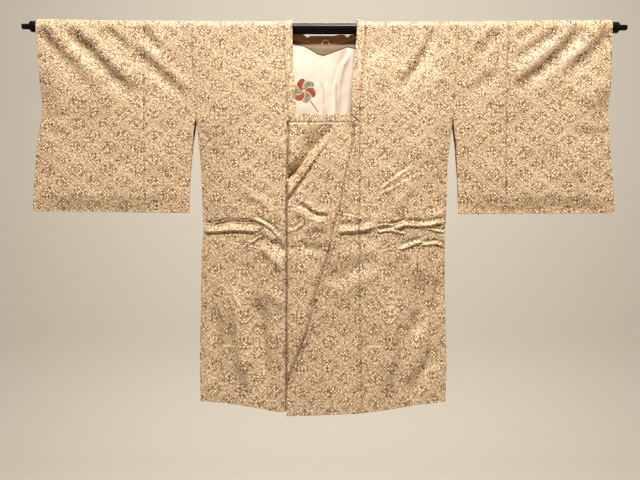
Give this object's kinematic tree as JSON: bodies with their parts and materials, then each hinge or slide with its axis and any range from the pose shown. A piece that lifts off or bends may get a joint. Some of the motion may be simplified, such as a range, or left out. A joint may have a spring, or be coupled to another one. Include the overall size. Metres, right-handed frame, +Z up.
{
  "type": "michiyuki coat on a hanging rod",
  "caption": "Short square-necked Japanese silk coat with wide sleeves, hanging flat over a round rod through both sleeves.",
  "frame": {"origin": "middle of the hanging rod's axis", "axes": "+X along the rod to the viewer's right, which is the wearer's left; -Y is the front of the coat; +Z up"},
  "size_m": [1.434, 0.0539, 0.9349],
  "materials": {
    "silk": "figured silk crepe, soft sheen",
    "lining": "smooth dyed silk lining",
    "facing": "plain matt cloth",
    "loop": "twisted cord",
    "rod": "gloss black paint"
  },
  "bodies": {
    "root": {"hanger_rod": "rod", "front_right": "silk", "front_left": "silk", "back_right": "silk", "back_left": "silk", "overlap_over": "silk", "overlap_under": "silk", "band_right": "silk", "band_left": "silk", "band_bottom": "silk", "band_back": "silk", "sleeve_right_front": "silk", "sleeve_right_wrist_front": "silk", "sleeve_right_back": "silk", "sleeve_right_wrist_back": "silk", "sleeve_left_front": "silk", "sleeve_left_wrist_front": "silk", "sleeve_left_back": "silk", "sleeve_left_wrist_back": "silk", "lining_back": "lining", "neck_facing": "facing", "hanging_loop": "loop"}
  },
  "joints": []
}
